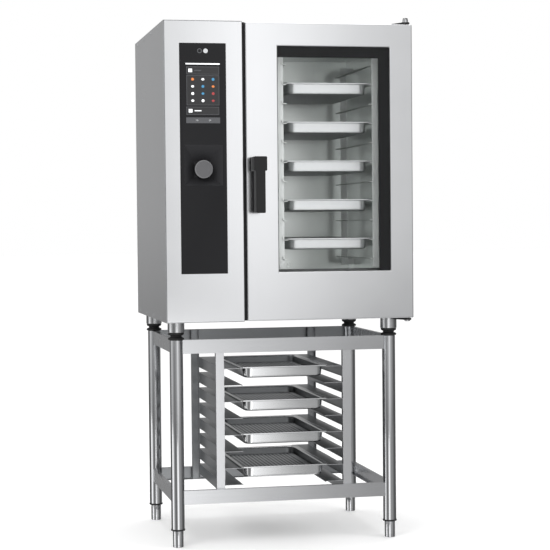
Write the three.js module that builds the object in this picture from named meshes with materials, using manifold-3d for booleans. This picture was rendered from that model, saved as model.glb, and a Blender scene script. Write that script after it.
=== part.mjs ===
// Combi steamer oven on its stand: a steel oven with a glazed door and a touch control column,
// five pans on hanging racks in the cavity, and an open tube stand with runner racks and four pans.
// Millimetres, +Z up. The origin is on the floor under the centre of the whole object's box.
// X runs to the right as the user faces the door, and the door faces -Y.
import * as THREE from "three";
import { mergeVertices } from "three/addons/utils/BufferGeometryUtils.js";
import Module from "manifold-3d";

const wasm = await Module();
wasm.setup();

// ---- overall sizes -------------------------------------------------------------------------
const ovenWidth = 895;
const ovenDepth = 775; // door face to rear panel
const ovenHeight = 1050;
const ovenFootHeight = 68;
const standHeight = 742;
const handleProud = 75; // how far the handle stands out of the door
const servicesProud = 25; // how far the pipe stubs stand out of the rear panel

// ---- clearances and sheet ------------------------------------------------------------------
const touchGap = 0.3; // between fixed pieces that rest on each other
const turnGap = 0.4; // radial, between a turning pin and its hole
const casingSheet = 1.2;
const linerSheet = 1.5;

// ---- front layout --------------------------------------------------------------------------
const fasciaWidth = 277; // steel column that carries the controls
const doorSeam = 10; // open seam between fascia and door
const doorEdgeGap = 2; // door to the casing's outline, right, top and bottom
const doorThickness = 60;
const gasketDepth = 6; // door's inner face to the front flange
const gasketWidth = 14;

// ---- door ----------------------------------------------------------------------------------
const windowLeftStile = 116;
const windowRightStile = 84;
const windowTopRail = 82;
const windowBottomRail = 171;
const outerGlass = 5;
const innerGlass = 4;
const glassLap = 9; // how far a pane reaches behind its frame
const innerFrameInset = 8; // inner frame's opening, inside the outer one
const hingeInset = 18; // pivot axis, in from the door's right edge
const hingeSetback = 22; // pivot axis, behind the door's face
const hingePinRadius = 6;
const hingePinEntry = 35;
const hingePlate = 6;
const hingePlateLength = 52;
const hingePlateReach = 84; // from the pivot back along the casing
const hingeNoseRadius = 15;
const hingeNutRadius = 9;
const hingeNutHeight = 16;
const lowerHingeNutHeight = 6;

// ---- handle and latch ----------------------------------------------------------------------
const handleInset = 37; // spindle axis, in from the door's left edge
const handleRise = 549; // spindle axis, above the door's bottom edge
const handleBlockWidth = 46;
const handleBlockHeight = 50;
const handleBlockDepth = 60;
const leverWidth = 33;
const leverDrop = 171; // spindle axis to the lever's tip
const leverDepth = 42;
const neckRadius = 17;
const spindleRadius = 6;
const spindleEntry = 32; // into the handle, from the door's face
const latchSetback = 30; // latch cam, behind the door's face
const latchPlate = 5;
const latchRadius = 17;
const latchNose = 30;

// ---- controls ------------------------------------------------------------------------------
const panelInset = 56; // control panel, in from the casing's left side
const panelWidth = 161;
const panelHeight = 799;
const panelTopDrop = 80; // panel's top edge, below the casing's top
const panelThickness = 5;
const panelProud = 1;
const panelFit = 0.5;
const bayWidth = 135;
const bayHeight = 142;
const bayTopDrop = 351; // bay's top edge, below the panel's top edge
const bayDepth = 38;
const bayFloor = 56; // square floor of the bay
const bayWall = 2.5;
const knobRadius = 31.5;
const knobDrop = 85; // knob axis, below the bay's top edge
const knobProud = 8;
const knobBack = 22;
const encoderRadius = 4;
const encoderLength = 62;
const encoderEntry = 16; // into the knob
const displayWidth = 120;
const displayHeight = 216;
const displayDepth = 22;
const displayTopDrop = 64; // below the panel's top edge

// ---- cavity --------------------------------------------------------------------------------
const chamberLeft = 300; // liner's outer left wall, from the casing's left side
const chamberRightGap = 60; // liner's outer right wall to the casing's right side
const chamberTopGap = 68;
const chamberBottomGap = 88;
const chamberRearGap = 70;
const mouthLeft = 405; // left edge of the loading opening, from the casing's left side
const insulationSide = 40;
const insulationLeft = 20;
const drainRadius = 20;

// ---- fan chamber ---------------------------------------------------------------------------
const baffleSetIn = 5; // baffle, left of the loading opening's left edge
const baffleSheet = 2;
const baffleMargin = 20; // air gap round the baffle
const baffleStudRadius = 6;
const intakeRadius = 130;
const intakeSlots = 9;
const intakeSlotWidth = 14;
const fanRadius = 190;
const fanWidth = 62;
const fanBlades = 14;
const fanSheet = 2;
const fanHubRadius = 28;
const fanShaftRadius = 9;
const fanShaftLength = 130;
const fanBackGap = 18; // wheel's back plate to the liner's left wall
const heaterRadius = 232;
const heaterTube = 6;
const heaterRings = 3;
const heaterPitch = 20;
const motorRadius = 75;
const motorLength = 150;
const motorFlange = 12;
const motorFlangeRadius = 92;

// ---- pans (325 x 530 gastronorm) and the cavity racks --------------------------------------
const panWidth = 325;
const panLength = 530;
const panDepth = 40;
const panRim = 13.5;
const panRimThickness = 4; // rolled rim
const panSheet = 1.2;
const panCornerRadius = 36;
const panRimRadius = 14;
const rackLevels = 11;
const rackPitch = 70;
const rackTopDrop = 66; // top rail level, below the chamber's ceiling
const rackUprightWidth = 22;
const rackUprightDepth = 4;
const rackSideGap = 2; // pan's rim to an upright
const rackRailWidth = 14;
const rackRailLap = 9; // how far a rail reaches under the pan's rim
const rackRailThickness = 3;
const rackFrontSetback = 140; // front uprights, behind the door's face
const rackRearSetback = 600;
const panFrontSetback = 130;
const ovenPanLevels = [1, 3, 5, 7, 9];

// ---- oven feet -----------------------------------------------------------------------------
const ovenFootRadius = 30;
const ovenFootRubber = 25; // height of the rubber part
const ovenFootWaist = 20;

// ---- stand ---------------------------------------------------------------------------------
const legInset = 55; // leg axis, in from the casing's side
const frontLegSetback = 147; // leg axis, behind the door's face
const rearLegSetback = 722;
const legRadius = 24;
const legWall = 2;
const footRadius = 19;
const footExposed = 60;
const footSpindleRadius = 15;
const footSpindleEntry = 90;
const railHeight = 50;
const railDepth = 15;
const railSheet = 1.5;
const railOutset = 12; // rail's outer face, out from the leg's axis
const lowerRailTop = 202;
const postWidth = 30;
const postDepth = 20;
const postInset = 198; // post's outer face, in from the casing's side
const postBottom = 155;
const runnerLevels = 8;
const runnerPitch = 60;
const topRunner = 634;
const runnerWeb = 40;
const runnerLip = 3.5;
const runnerSheet = 1.5;
const runnerLap = 10; // how far a runner reaches under the pan's rim
const panRunnerGap = 0.3;
const standPanSetback = 138; // pan's front edge, behind the door's face
const standPanLevels = [0, 2, 4, 6];

// ---- vent and connections on the casing ----------------------------------------------------
const ventRadius = 30;
const ventHeight = 18;
const ventFlangeRadius = 44;
const ventInset = 330; // from the casing's left side
const ventSetback = 640;
const ventWall = 2;
const servicePlateWidth = 230;
const servicePlateHeight = 120;
const servicePlateInset = 70;
const servicePlateRise = 40;
const servicePlateSheet = 3;
const wasteRadius = 25;
const waterRadius = 10;
const glandRadius = 14;

// ---- places worked out from the sizes ------------------------------------------------------
const face = handleProud - (handleProud + ovenDepth + servicesProud) / 2; // door's face, in Y
const back = face + ovenDepth;
const left = -ovenWidth / 2;
const right = ovenWidth / 2;
const ovenBottom = standHeight + ovenFootHeight;
const ovenTop = ovenBottom + ovenHeight;
const flangeFace = face + doorThickness + gasketDepth;
const doorLeft = left + fasciaWidth + doorSeam;
const doorRight = right - doorEdgeGap;
const doorBottom = ovenBottom + doorEdgeGap;
const doorTop = ovenTop - doorEdgeGap - casingSheet;
const windowBox = {
  x0: doorLeft + windowLeftStile,
  x1: doorRight - windowRightStile,
  z0: doorBottom + windowBottomRail,
  z1: doorTop - windowTopRail,
};
const hingeX = doorRight - hingeInset;
const hingeY = face + hingeSetback;
const handleX = doorLeft + handleInset;
const handleZ = doorBottom + handleRise;
const panelTop = ovenTop - panelTopDrop;
const bayTop = panelTop - bayTopDrop;
const panelMidX = left + panelInset + panelWidth / 2;
const knobZ = bayTop - knobDrop;
const linerOut = {
  x0: left + chamberLeft,
  x1: right - chamberRightGap,
  y0: flangeFace,
  y1: back - chamberRearGap,
  z0: ovenBottom + chamberBottomGap,
  z1: ovenTop - chamberTopGap,
};
const chamber = {
  x0: linerOut.x0 + linerSheet,
  x1: linerOut.x1 - linerSheet,
  y0: linerOut.y0 + linerSheet,
  y1: linerOut.y1 - linerSheet,
  z0: linerOut.z0 + linerSheet,
  z1: linerOut.z1 - linerSheet,
};
const mouth = { x0: left + mouthLeft, x1: chamber.x1, z0: chamber.z0, z1: chamber.z1 };
const baffleX = mouth.x0 - baffleSetIn;
const fanY = (chamber.y0 + chamber.y1) / 2;
const fanZ = (chamber.z0 + chamber.z1) / 2;
const fanBackX = chamber.x0 + fanBackGap;
const ovenPanX = (baffleX + chamber.x1) / 2;
const topRail = chamber.z1 - rackTopDrop;
const runnerTipX = panWidth / 2 - runnerLap;

// ---- solids --------------------------------------------------------------------------------
// A closed geometry as a manifold solid.
function solid(geometry) {
  const bare = geometry.index ? geometry.toNonIndexed() : geometry.clone();
  bare.deleteAttribute("normal");
  bare.deleteAttribute("uv");
  const merged = mergeVertices(bare, 1e-4);
  const vertProperties = new Float32Array(merged.attributes.position.array);
  const triVerts = new Uint32Array(merged.index.array);
  return new wasm.Manifold(new wasm.Mesh({ numProp: 3, vertProperties, triVerts }));
}

function geometryOf(manifold) {
  const { vertProperties, triVerts } = manifold.getMesh();
  const geometry = new THREE.BufferGeometry();
  geometry.setAttribute("position", new THREE.BufferAttribute(vertProperties, 3));
  geometry.setIndex(new THREE.BufferAttribute(triVerts, 1));
  return geometry;
}

function join(...geometries) {
  return geometryOf(geometries.map(solid).reduce((a, b) => a.add(b)));
}

function cut(geometry, ...tools) {
  return geometryOf(tools.map(solid).reduce((a, b) => a.subtract(b), solid(geometry)));
}

// ---- basic shapes --------------------------------------------------------------------------
function block(x0, x1, y0, y1, z0, z1) {
  const geometry = new THREE.BoxGeometry(Math.abs(x1 - x0), y1 - y0, z1 - z0);
  return geometry.translate((x0 + x1) / 2, (y0 + y1) / 2, (z0 + z1) / 2);
}

// A cylinder along one axis, from a start point.
function rod(axis, radius, start, length, sides = 32) {
  const geometry = new THREE.CylinderGeometry(radius, radius, length, sides);
  geometry.translate(0, length / 2, 0);
  if (axis === "x") geometry.rotateZ(-Math.PI / 2);
  if (axis === "z") geometry.rotateX(Math.PI / 2);
  return geometry.translate(...start);
}

// An outline of [a, b] points.
function outline(points) {
  return new THREE.Shape(points.map(([a, b]) => new THREE.Vector2(a, b)));
}

function roundedRect(width, height, radius) {
  const [w, h] = [width / 2, height / 2];
  const shape = new THREE.Shape();
  shape.moveTo(-w + radius, -h);
  shape.lineTo(w - radius, -h);
  shape.absarc(w - radius, -h + radius, radius, -Math.PI / 2, 0);
  shape.lineTo(w, h - radius);
  shape.absarc(w - radius, h - radius, radius, 0, Math.PI / 2);
  shape.lineTo(-w + radius, h);
  shape.absarc(-w + radius, h - radius, radius, Math.PI / 2, Math.PI);
  shape.lineTo(-w, -h + radius);
  shape.absarc(-w + radius, -h + radius, radius, Math.PI, Math.PI * 1.5);
  return shape;
}

// An outline in the XY plane, raised from z0 to z1.
function raised(shape, z0, z1, curveSegments = 4) {
  const geometry = new THREE.ExtrudeGeometry(shape, { depth: z1 - z0, bevelEnabled: false, curveSegments });
  return geometry.translate(0, 0, z0);
}

// An outline in the XZ plane, extruded from y0 to y1.
function deepened(shape, y0, y1, curveSegments = 4) {
  const geometry = new THREE.ExtrudeGeometry(shape, { depth: y1 - y0, bevelEnabled: false, curveSegments });
  return geometry.rotateX(Math.PI / 2).translate(0, y1, 0);
}

// A turned solid about the Z axis from [radius, z] points that start and end on the axis.
function turned(points, sides = 28) {
  return new THREE.LatheGeometry(points.map(([r, z]) => new THREE.Vector2(r, z)), sides).rotateX(Math.PI / 2);
}

// A tapering pocket between a rectangle at y0 and a smaller one at y1.
function pocket(outer, inner, y0, y1) {
  const corners = [];
  for (const [rect, y] of [[outer, y0], [inner, y1]]) {
    corners.push(rect.x0, y, rect.z0, rect.x1, y, rect.z0, rect.x1, y, rect.z1, rect.x0, y, rect.z1);
  }
  const faces = [0, 1, 2, 0, 2, 3, 4, 6, 5, 4, 7, 6];
  for (let i = 0; i < 4; i += 1) {
    const j = (i + 1) % 4;
    faces.push(i, i + 4, j + 4, i, j + 4, j);
  }
  const geometry = new THREE.BufferGeometry();
  geometry.setAttribute("position", new THREE.Float32BufferAttribute(corners, 3));
  geometry.setIndex(faces);
  return geometry;
}

function grown(rect, by) {
  return { x0: rect.x0 - by, x1: rect.x1 + by, z0: rect.z0 - by, z1: rect.z1 + by };
}

// ---- materials -----------------------------------------------------------------------------
const finishes = {
  brushed: { color: 0xc9cacc, roughness: 0.34, metalness: 1 },
  bright: { color: 0xd8dadb, roughness: 0.2, metalness: 1 },
  galvanised: { color: 0xa9adb0, roughness: 0.5, metalness: 1 },
  black: { color: 0x1d1d1f, roughness: 0.35, metalness: 0 },
  blackSteel: { color: 0x151516, roughness: 0.45, metalness: 0.6 },
  rubber: { color: 0x111112, roughness: 0.8, metalness: 0 },
  glass: { color: 0xb9c3bf, roughness: 0.04, metalness: 0 },
  wool: { color: 0xd6cf9c, roughness: 1, metalness: 0 },
  circuit: { color: 0x23402f, roughness: 0.6, metalness: 0 },
  cast: { color: 0x6d7276, roughness: 0.6, metalness: 0.8 },
  knobCap: { color: 0x858688, roughness: 0.3, metalness: 0.9 },
};

const oven = new THREE.Group();

function place(name, geometry, finish, position = [0, 0, 0]) {
  const material = new THREE.MeshStandardMaterial(finishes[finish]);
  const mesh = new THREE.Mesh(geometry, material);
  mesh.name = name;
  mesh.position.set(...position);
  oven.add(mesh);
}

// ---- casing --------------------------------------------------------------------------------
const inLeft = left + casingSheet + touchGap;
const inRight = right - casingSheet - touchGap;
const inBottom = ovenBottom + casingSheet + touchGap;
const inTop = ovenTop - casingSheet - touchGap;
const fasciaRight = left + fasciaWidth;

// Top and base sheets reach the front only over the fascia: the door closes the rest.
function steppedSheet() {
  return outline([
    [inLeft, face],
    [fasciaRight, face],
    [fasciaRight, flangeFace],
    [inRight, flangeFace],
    [inRight, back],
    [inLeft, back],
  ]);
}

function addCasing() {
  place("left_side_panel", block(left, left + casingSheet, face, back, ovenBottom, ovenTop), "brushed");
  place("right_side_panel", block(right - casingSheet, right, flangeFace, back, ovenBottom, ovenTop), "brushed");
  place("top_panel", raised(steppedSheet(), ovenTop - casingSheet, ovenTop), "brushed");
  place("base_pan", raised(steppedSheet(), ovenBottom, ovenBottom + casingSheet), "brushed");
  place("rear_panel", block(inLeft, inRight, back - casingSheet, back, inBottom, inTop), "brushed");
}

// The fascia is a folded sheet, open at the back, with a window for the control panel.
function addFascia() {
  const sheet = casingSheet;
  const returnDepth = 15;
  const plan = outline([
    [inLeft, face],
    [fasciaRight, face],
    [fasciaRight, flangeFace],
    [fasciaRight - sheet, flangeFace],
    [fasciaRight - sheet, face + sheet],
    [inLeft + sheet, face + sheet],
    [inLeft + sheet, face + returnDepth],
    [inLeft, face + returnDepth],
  ]);
  const hole = block(
    panelMidX - panelWidth / 2, panelMidX + panelWidth / 2,
    face - 1, face + sheet + 1,
    panelTop - panelHeight, panelTop,
  );
  place("control_fascia", cut(raised(plan, inBottom, inTop), hole), "brushed");
}

// ---- control panel, display and knob -------------------------------------------------------
function bayMouth() {
  return { x0: panelMidX - bayWidth / 2, x1: panelMidX + bayWidth / 2, z0: bayTop - bayHeight, z1: bayTop };
}

function bayBottom() {
  const half = bayFloor / 2;
  return { x0: panelMidX - half, x1: panelMidX + half, z0: knobZ - half, z1: knobZ + half };
}

function addControlPanel() {
  const front = face - panelProud;
  const plate = block(
    panelMidX - panelWidth / 2 + panelFit, panelMidX + panelWidth / 2 - panelFit,
    front, front + panelThickness,
    panelTop - panelHeight + panelFit, panelTop - panelFit,
  );
  const floor = front + bayDepth;
  const shell = pocket(grown(bayMouth(), bayWall), grown(bayBottom(), bayWall), front + panelProud, floor + bayWall);
  const hollow = pocket(bayMouth(), bayBottom(), front, floor);
  const mouthCut = block(
    bayMouth().x0, bayMouth().x1, front - 1, front, bayMouth().z0, bayMouth().z1,
  );
  const shaftHole = rod("y", encoderRadius + turnGap, [panelMidX, floor - 1, knobZ], bayWall + 2);
  place("control_panel", cut(join(plate, shell), hollow, mouthCut, shaftHole), "black");
}

function addDisplay() {
  const front = face - panelProud + panelThickness + touchGap;
  const top = panelTop - displayTopDrop;
  place(
    "display_module",
    block(
      panelMidX - displayWidth / 2, panelMidX + displayWidth / 2,
      front, front + displayDepth,
      top - displayHeight, top,
    ),
    "circuit",
  );
}

function addKnob() {
  const depth = knobProud + knobBack;
  const boreTop = encoderEntry + touchGap;
  const edge = 2;
  const profile = [
    [0, depth],
    [knobRadius - edge, depth],
    [knobRadius, depth - edge],
    [knobRadius, 0],
    [encoderRadius + touchGap, 0],
    [encoderRadius + touchGap, boreTop],
    [0, boreTop],
  ];
  const knob = turned(profile.reverse(), 32).rotateX(Math.PI / 2);
  place("knob", knob.translate(panelMidX, face + knobBack, knobZ), "knobCap");
  const shaftFront = face + knobBack - encoderEntry;
  const collarStart = face - panelProud + bayDepth + bayWall + 6;
  const shaft = rod("y", encoderRadius, [panelMidX, shaftFront, knobZ], encoderLength, 24);
  const collar = rod("y", encoderRadius * 2, [panelMidX, collarStart, knobZ], encoderRadius, 24);
  place("encoder_shaft", join(shaft, collar), "bright");
}

// ---- cavity liner, gasket and insulation ---------------------------------------------------
function boxOf(b) {
  return block(b.x0, b.x1, b.y0, b.y1, b.z0, b.z1);
}

function addLiner() {
  const flange = block(
    fasciaRight + touchGap, inRight,
    flangeFace, flangeFace + linerSheet,
    inBottom, inTop,
  );
  const opening = block(mouth.x0, mouth.x1, flangeFace - 1, chamber.y0 + 1, mouth.z0, mouth.z1);
  const shaftHole = rod("x", fanShaftRadius + 3, [linerOut.x0 - 1, fanY, fanZ], linerSheet + 2);
  const drain = rod("z", drainRadius, [ovenPanX, fanY, linerOut.z0 - 1], linerSheet + 2);
  place("cavity_liner", cut(join(flange, boxOf(linerOut)), boxOf(chamber), opening, shaftHole, drain), "brushed");
}

function addGasket() {
  const width = mouth.x1 - mouth.x0;
  const height = mouth.z1 - mouth.z0;
  const radius = 12;
  const ring = roundedRect(width + 2 * gasketWidth, height + 2 * gasketWidth, radius + gasketWidth);
  ring.holes.push(roundedRect(width, height, radius));
  const body = deepened(ring, face + doorThickness + touchGap, flangeFace - touchGap);
  place("door_gasket", body.translate((mouth.x0 + mouth.x1) / 2, 0, (mouth.z0 + mouth.z1) / 2), "rubber");
}

function addInsulation() {
  const inner = {
    x0: linerOut.x0 - touchGap,
    x1: linerOut.x1 + touchGap,
    y0: chamber.y0 + touchGap,
    y1: linerOut.y1 + touchGap,
    z0: linerOut.z0 - touchGap,
    z1: linerOut.z1 + touchGap,
  };
  const outer = {
    x0: inner.x0 - insulationLeft,
    x1: inner.x1 + insulationSide,
    y0: inner.y0,
    y1: inner.y1 + insulationSide,
    z0: inner.z0 - insulationSide,
    z1: inner.z1 + insulationSide,
  };
  const hollow = block(inner.x0, inner.x1, inner.y0 - 1, inner.y1, inner.z0, inner.z1);
  const shaftHole = rod("x", fanShaftRadius + 8, [outer.x0 - 1, fanY, fanZ], insulationLeft + 2);
  place("insulation", cut(boxOf(outer), hollow, shaftHole), "wool");
}

// ---- fan, baffle, heater and motor ---------------------------------------------------------
function addBaffle() {
  const plate = block(
    baffleX - baffleSheet, baffleX,
    chamber.y0 + baffleMargin, chamber.y1 - baffleMargin,
    chamber.z0 + baffleMargin, chamber.z1 - baffleMargin,
  );
  const slots = [];
  for (let i = 0; i < intakeSlots; i += 1) {
    const offset = ((i + 0.5) / intakeSlots) * 2 * intakeRadius - intakeRadius;
    const half = Math.sqrt(intakeRadius ** 2 - offset ** 2);
    const y = fanY + offset;
    slots.push(block(
      baffleX - baffleSheet - 1, baffleX + 1,
      y - intakeSlotWidth / 2, y + intakeSlotWidth / 2,
      fanZ - half, fanZ + half,
    ));
  }
  const studs = [];
  for (const y of [chamber.y0 + 3 * baffleMargin, chamber.y1 - 3 * baffleMargin]) {
    for (const z of [chamber.z0 + 3 * baffleMargin, chamber.z1 - 3 * baffleMargin]) {
      const start = chamber.x0 + touchGap;
      studs.push(rod("x", baffleStudRadius, [start, y, z], baffleX - baffleSheet / 2 - start, 12));
    }
  }
  place("fan_baffle", cut(join(plate, ...studs), ...slots), "brushed");
}

function addFan() {
  const backPlate = rod("x", fanRadius, [fanBackX, fanY, fanZ], fanSheet, 40);
  const hub = rod("x", fanHubRadius, [fanBackX, fanY, fanZ], fanWidth / 2, 24);
  const shaft = rod("x", fanShaftRadius, [fanBackX - fanShaftLength, fanY, fanZ], fanShaftLength + 4, 24);
  const rim = rod("x", fanRadius, [fanBackX + fanWidth - fanSheet, fanY, fanZ], fanSheet, 40);
  const rimHole = rod("x", fanRadius * 0.8, [fanBackX + fanWidth - 2 * fanSheet, fanY, fanZ], 4 * fanSheet, 40);
  const blades = [];
  for (let i = 0; i < fanBlades; i += 1) {
    const blade = block(
      fanBackX + fanSheet / 2, fanBackX + fanWidth - fanSheet / 2,
      fanRadius * 0.62, fanRadius * 0.985,
      -fanSheet / 2, fanSheet / 2,
    );
    blade.rotateX((i * 2 * Math.PI) / fanBlades);
    blades.push(blade.translate(0, fanY, fanZ));
  }
  place("fan_wheel", join(backPlate, cut(rim, rimHole), hub, shaft, ...blades), "bright");
}

function addHeater() {
  const pieces = [];
  const firstX = fanBackX + fanWidth / 2 - heaterPitch * (heaterRings - 1) / 2;
  for (let i = 0; i < heaterRings; i += 1) {
    const ring = new THREE.TorusGeometry(heaterRadius, heaterTube, 6, 32);
    pieces.push(ring.rotateY(Math.PI / 2).translate(firstX + i * heaterPitch, fanY, fanZ));
  }
  const clipStart = chamber.x0 + touchGap;
  const clipEnd = firstX + heaterPitch * (heaterRings - 1);
  for (const turn of [0.25, 0.75, 1.5]) {
    const y = fanY + heaterRadius * Math.cos(turn * Math.PI);
    const z = fanZ + heaterRadius * Math.sin(turn * Math.PI);
    pieces.push(rod("x", heaterTube * 0.7, [clipStart, y, z], clipEnd - clipStart, 8));
  }
  place("heating_rings", join(...pieces), "cast");
}

function addMotor() {
  const flangeEnd = linerOut.x0 - insulationLeft - 2 * touchGap - motorFlange;
  const body = rod("x", motorRadius, [flangeEnd - motorLength, fanY, fanZ], motorLength + 1, 40);
  const flange = rod("x", motorFlangeRadius, [flangeEnd, fanY, fanZ], motorFlange, 40);
  const bore = rod("x", fanShaftRadius + turnGap, [fanBackX - fanShaftLength - 2, fanY, fanZ], fanShaftLength, 24);
  place("fan_motor", cut(join(body, flange), bore), "cast");
}

// ---- racks in the cavity -------------------------------------------------------------------
// side is -1 for the rack at the baffle and 1 for the rack at the right wall.
function addCavityRack(name, side, wallX) {
  const inner = panWidth / 2 + rackSideGap;
  const at = (offset) => ovenPanX + side * offset;
  const bottom = topRail - (rackLevels - 1) * rackPitch - rackTopDrop / 2;
  const top = topRail + rackTopDrop / 2;
  const pieces = [];
  for (const setback of [rackFrontSetback, rackRearSetback]) {
    const y = face + setback;
    pieces.push(block(at(inner), at(inner + rackUprightWidth), y, y + rackUprightDepth, bottom, top));
    for (const z of [bottom, top - rackUprightWidth]) {
      pieces.push(block(at(inner + 1), wallX - side * touchGap, y, y + rackUprightDepth, z, z + rackUprightWidth));
    }
  }
  const railStart = panWidth / 2 - rackRailLap;
  for (let level = 0; level < rackLevels; level += 1) {
    const z = topRail - level * rackPitch;
    pieces.push(block(
      at(railStart), at(railStart + rackRailWidth),
      face + rackFrontSetback - 8, face + rackRearSetback + 40,
      z - rackRailThickness, z,
    ));
  }
  place(name, join(...pieces), "bright");
}

// ---- pans ----------------------------------------------------------------------------------
// The pan's origin is the middle of its front edge, on the underside of its rim.
function panGeometry() {
  const bodyWidth = panWidth - 2 * panRim;
  const bodyLength = panLength - 2 * panRim;
  const hole = { width: bodyWidth - 2 * panSheet, length: bodyLength - 2 * panSheet };
  const rim = raised(roundedRect(panWidth, panLength, panRimRadius), 0, panRimThickness, 4);
  const body = raised(roundedRect(bodyWidth, bodyLength, panCornerRadius), -panDepth + panRimThickness, 1, 5);
  const inside = roundedRect(hole.width, hole.length, panCornerRadius - panSheet);
  const hollow = raised(inside, -panDepth + panRimThickness + panSheet, panRimThickness + 1, 5);
  return cut(join(rim, body), hollow).translate(0, panLength / 2, 0);
}

function addOvenPans() {
  const pan = panGeometry();
  ovenPanLevels.forEach((level, i) => {
    const z = topRail - level * rackPitch + panRunnerGap;
    place(`oven_pan_${i + 1}`, pan, "bright", [ovenPanX, face + panFrontSetback, z]);
  });
}

function addStandPans() {
  const pan = panGeometry();
  standPanLevels.forEach((level, i) => {
    const z = topRunner - level * runnerPitch + panRunnerGap;
    place(`stand_pan_${i + 1}`, pan, "bright", [0, face + standPanSetback, z]);
  });
}

// ---- door ----------------------------------------------------------------------------------
function addDoorShell() {
  const sheet = casingSheet;
  const depth = doorThickness - sheet - touchGap;
  const outer = block(doorLeft, doorRight, face, face + depth, doorBottom, doorTop);
  const inner = block(
    doorLeft + sheet, doorRight - sheet,
    face + sheet, face + depth + 1,
    doorBottom + sheet, doorTop - sheet,
  );
  const opening = block(windowBox.x0, windowBox.x1, face - 1, face + sheet + 1, windowBox.z0, windowBox.z1);
  const pinHole = rod(
    "z", hingePinRadius + turnGap,
    [hingeX, hingeY, doorBottom - 1],
    doorTop - doorBottom + 2,
  );
  const spindleHole = rod("y", spindleRadius + turnGap, [handleX, face - 1, handleZ], sheet + 2);
  place("door_shell", cut(outer, inner, opening, pinHole, spindleHole), "brushed");
}

function addDoorInnerFrame() {
  const rear = face + doorThickness;
  const plate = block(doorLeft, doorRight, rear - casingSheet, rear, doorBottom, doorTop);
  const hole = grown(windowBox, -innerFrameInset);
  const opening = block(hole.x0, hole.x1, rear - casingSheet - 1, rear + 1, hole.z0, hole.z1);
  place("door_inner_frame", cut(plate, opening), "brushed");
}

function addDoorGlass() {
  const outer = grown(windowBox, glassLap);
  const outerFront = face + casingSheet + touchGap;
  place(
    "door_outer_glass",
    block(outer.x0, outer.x1, outerFront, outerFront + outerGlass, outer.z0, outer.z1),
    "glass",
  );
  const inner = grown(windowBox, glassLap - innerFrameInset);
  const innerRear = face + doorThickness - casingSheet - touchGap;
  place(
    "door_inner_glass",
    block(inner.x0, inner.x1, innerRear - innerGlass, innerRear, inner.z0, inner.z1),
    "glass",
  );
}

// The handle hangs from a neck on the door; the latch's spindle runs up into it.
function addHandle() {
  const front = face - handleProud;
  const head = deepened(roundedRect(handleBlockWidth, handleBlockHeight, 4), front, front + handleBlockDepth, 3);
  const leverShape = roundedRect(leverWidth, leverDrop, 4);
  const lever = deepened(leverShape, front, front + leverDepth, 3).translate(0, 0, -leverDrop / 2);
  const neckStart = front + handleBlockDepth - 1;
  const neck = rod("y", neckRadius, [0, neckStart, 0], face - touchGap - neckStart, 32);
  const bore = rod("y", spindleRadius + touchGap, [0, face - spindleEntry - touchGap, 0], spindleEntry + 2, 24);
  place("door_handle", cut(join(head, lever, neck), bore).translate(handleX, 0, handleZ), "black");
}

function addLatch() {
  const camFront = face + latchSetback;
  const spindle = rod("y", spindleRadius, [0, face - spindleEntry, 0], spindleEntry + latchSetback + latchPlate, 24);
  const cam = rod("y", latchRadius, [0, camFront, 0], latchPlate, 32);
  const nose = block(-latchNose, 0, camFront, camFront + latchPlate, -latchRadius / 2, latchRadius / 2);
  place("door_latch", join(spindle, cam, nose).translate(handleX, 0, handleZ), "bright");
}

// ---- hinges --------------------------------------------------------------------------------
// A plate on the casing with a rounded nose over the pivot, its pin and a nut.
// up is 1 for the hinge on top of the casing and -1 for the one under it.
function hingeGeometry(up, mountFace, nutHeight) {
  const plateX0 = hingeX + hingeNoseRadius - hingePlateLength;
  const shape = new THREE.Shape();
  shape.moveTo(plateX0, hingeY + hingePlateReach);
  shape.lineTo(plateX0, hingeY + hingePlateReach / 2);
  shape.lineTo(hingeX - hingeNoseRadius, hingeY);
  shape.absarc(hingeX, hingeY, hingeNoseRadius, Math.PI, Math.PI * 2);
  shape.lineTo(hingeX + hingeNoseRadius, hingeY + hingePlateReach);
  const near = mountFace + up * touchGap;
  const far = near + up * hingePlate;
  const plate = raised(shape, Math.min(near, far), Math.max(near, far), 8);
  const pinEnd = mountFace - up * hingePinEntry;
  const pin = rod("z", hingePinRadius, [hingeX, hingeY, Math.min(pinEnd, far - up)], Math.abs(far - up - pinEnd));
  const nutStart = far - up;
  const nutLow = Math.min(nutStart, nutStart + up * nutHeight);
  const nut = rod("z", hingeNutRadius, [hingeX, hingeY, nutLow], nutHeight, 6);
  return join(plate, pin, nut);
}

function addHinges() {
  place("upper_hinge", hingeGeometry(1, ovenTop, hingeNutHeight), "blackSteel");
  place("lower_hinge", hingeGeometry(-1, ovenBottom, lowerHingeNutHeight), "blackSteel");
}

// ---- vent and connections ------------------------------------------------------------------
function addVent() {
  const base = ovenTop + touchGap;
  const flange = rod("z", ventFlangeRadius, [0, 0, base], casingSheet * 2, 40);
  const pipe = rod("z", ventRadius, [0, 0, base], ventHeight, 40);
  const bore = rod("z", ventRadius - ventWall, [0, 0, base - 1], ventHeight + 2, 40);
  const vent = cut(join(flange, pipe), bore);
  place("steam_vent", vent, "brushed", [left + ventInset, face + ventSetback, 0]);
}

function addServices() {
  const x0 = left + servicePlateInset;
  const z0 = ovenBottom + servicePlateRise;
  const front = back + touchGap;
  const plate = block(x0, x0 + servicePlateWidth, front, front + servicePlateSheet, z0, z0 + servicePlateHeight);
  const midZ = z0 + servicePlateHeight / 2;
  const stub = (share, radius) => rod(
    "y", radius,
    [x0 + share * servicePlateWidth, front + 1, midZ],
    servicesProud - touchGap - 1, 28,
  );
  const stubs = [stub(0.2, glandRadius), stub(0.42, waterRadius), stub(0.58, waterRadius), stub(0.82, wasteRadius)];
  place("service_connections", join(plate, ...stubs), "bright");
}

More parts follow.
